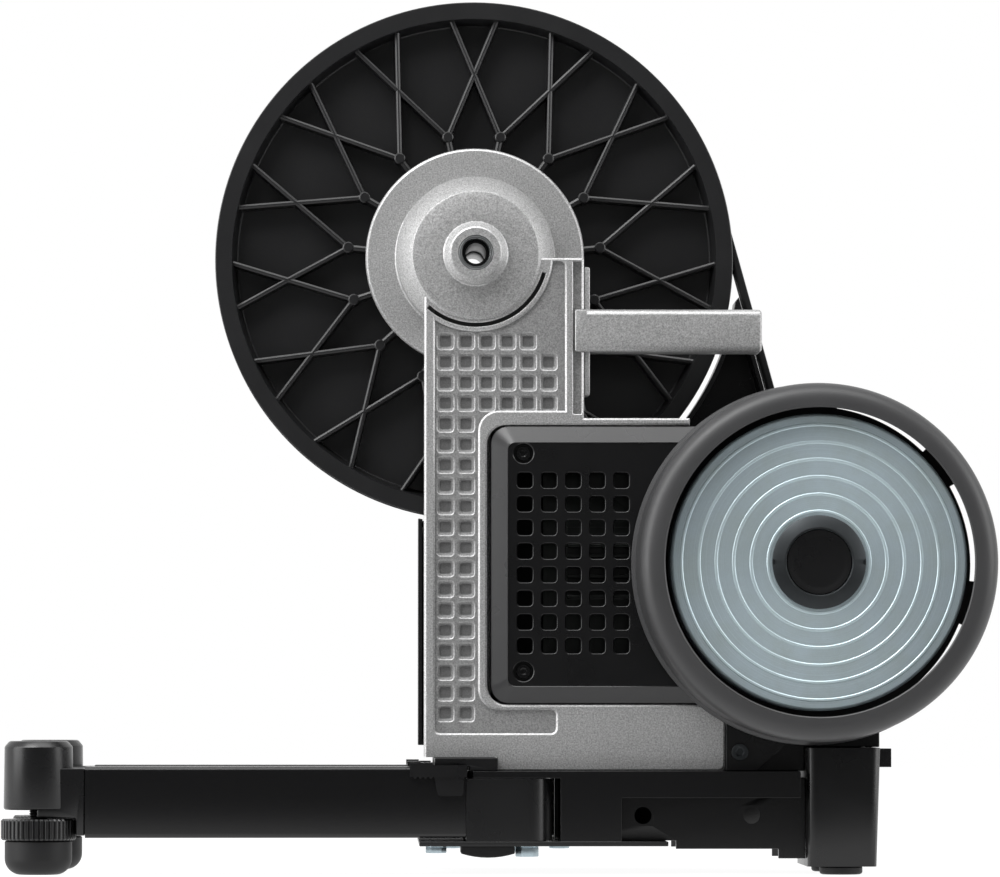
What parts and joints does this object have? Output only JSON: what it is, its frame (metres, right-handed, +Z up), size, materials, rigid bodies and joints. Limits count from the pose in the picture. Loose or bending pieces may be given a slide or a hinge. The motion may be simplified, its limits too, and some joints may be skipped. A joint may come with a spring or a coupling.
{
  "type": "direct drive bike trainer",
  "caption": "Direct drive bike trainer with cast upright, belt driven flywheel, sprockets for a chain and two folding front legs, shown folded.",
  "frame": {"origin": "middle of the bounding box footprint, on the floor", "axes": "+X along the length towards the flywheel end, +Z up, -Y the flywheel side"},
  "size_m": [0.5788, 0.2224, 0.5174],
  "materials": {
    "cast_silver": "satin cast aluminium",
    "black_plastic": "fine textured black plastic",
    "satin_plastic": "satin dark grey plastic",
    "painted_steel": "black powder coat",
    "zinc_steel": "zinc plated, turned",
    "bright_steel": "bright machined",
    "gunmetal": "dark machined",
    "rubber": "matt rubber",
    "board_green": "coated board",
    "copper": "lacquered copper wire"
  },
  "bodies": {
    "frame": {"frame_casting": "cast_silver", "brake_cover": "black_plastic", "cover_screw_upper": "painted_steel", "cover_screw_lower": "painted_steel", "control_board": "board_green", "carry_handle": "cast_silver", "flywheel_guard": "satin_plastic", "shaft_bearing_near": "bright_steel", "shaft_bearing_far": "bright_steel", "brake_stator": "gunmetal", "brake_coil": "copper", "drive_belt": "rubber", "hub_bearing_near": "bright_steel", "hub_bearing_far": "bright_steel", "hub_axle": "bright_steel", "axle_cap_near": "gunmetal", "axle_cap_far": "gunmetal", "belt_cover": "black_plastic", "base_channel": "painted_steel", "base_bottom_plate": "painted_steel", "rear_beam": "painted_steel", "rear_post": "black_plastic", "rear_foot_near": "rubber", "rear_foot_far": "rubber", "flywheel_support": "painted_steel", "guard_bracket": "black_plastic", "bracket_screw": "bright_steel", "power_inlet": "black_plastic", "base_skid": "rubber", "stop_bolt_near": "zinc_steel", "stop_bolt_far": "zinc_steel", "base_bolt_far": "zinc_steel", "leg_catch_near": "black_plastic", "pivot_bolt_near": "zinc_steel", "leg_catch_far": "black_plastic", "pivot_bolt_far": "zinc_steel"},
    "pulley": {"drive_pulley": "satin_plastic", "pulley_hub": "bright_steel"},
    "flywheel": {"flywheel": "zinc_steel", "flywheel_cap": "black_plastic", "flywheel_cap_disc": "satin_plastic", "flywheel_shaft": "bright_steel"},
    "freehub": {"freehub_body": "gunmetal", "cassette_large": "bright_steel", "cassette_middle": "bright_steel", "cassette_small": "bright_steel", "lockring": "gunmetal"},
    "leg_near": {"leg_tube_near": "painted_steel", "leg_hinge_block_near": "black_plastic", "leg_end_cap_near": "black_plastic"},
    "latch_near": {"leg_latch_near": "black_plastic"},
    "foot_near": {"foot_adjuster_near": "black_plastic", "foot_pad_near": "rubber"},
    "leg_far": {"leg_tube_far": "painted_steel", "leg_hinge_block_far": "black_plastic", "leg_end_cap_far": "black_plastic"},
    "latch_far": {"leg_latch_far": "black_plastic"},
    "foot_far": {"foot_adjuster_far": "black_plastic", "foot_pad_far": "rubber"}
  },
  "joints": [
    {"name": "flywheel_spin", "type": "hinge", "parent": "frame", "child": "flywheel", "pos_m": [0.18385, 0.0273, 0.1808], "axis": [0, 1, 0], "continuous": true},
    {"name": "pulley_spin", "type": "hinge", "parent": "frame", "child": "pulley", "pos_m": [-0.01255, 0.0273, 0.3633], "axis": [0, 1, 0], "continuous": true},
    {"name": "freehub_spin", "type": "hinge", "parent": "frame", "child": "freehub", "pos_m": [-0.01255, 0.0273, 0.3633], "axis": [0, 1, 0], "continuous": true},
    {"name": "leg_swing_near", "type": "hinge", "parent": "frame", "child": "leg_near", "pos_m": [0.01745, -0.0347, 0.0383], "axis": [0, 0, 1], "range_deg": [0, 60]},
    {"name": "latch_slide_near", "type": "slide", "parent": "leg_near", "child": "latch_near", "axis": [-1, 0, 0], "range_m": [0, 0.008], "stiffness_N_per_m": 300},
    {"name": "foot_screw_near", "type": "slide", "parent": "leg_near", "child": "foot_near", "axis": [0, 0, -1], "range_m": [0, 0.01]},
    {"name": "leg_swing_far", "type": "hinge", "parent": "frame", "child": "leg_far", "pos_m": [0.01745, 0.0893, 0.0383], "axis": [0, 0, -1], "range_deg": [0, 60]},
    {"name": "latch_slide_far", "type": "slide", "parent": "leg_far", "child": "latch_far", "axis": [-1, 0, 0], "range_m": [0, 0.008], "stiffness_N_per_m": 300},
    {"name": "foot_screw_far", "type": "slide", "parent": "leg_far", "child": "foot_far", "axis": [0, 0, -1], "range_m": [0, 0.01]}
  ],
  "couplings": [
    {"joint": "pulley_spin", "follows": "flywheel_spin", "ratio": 0.06102}
  ]
}
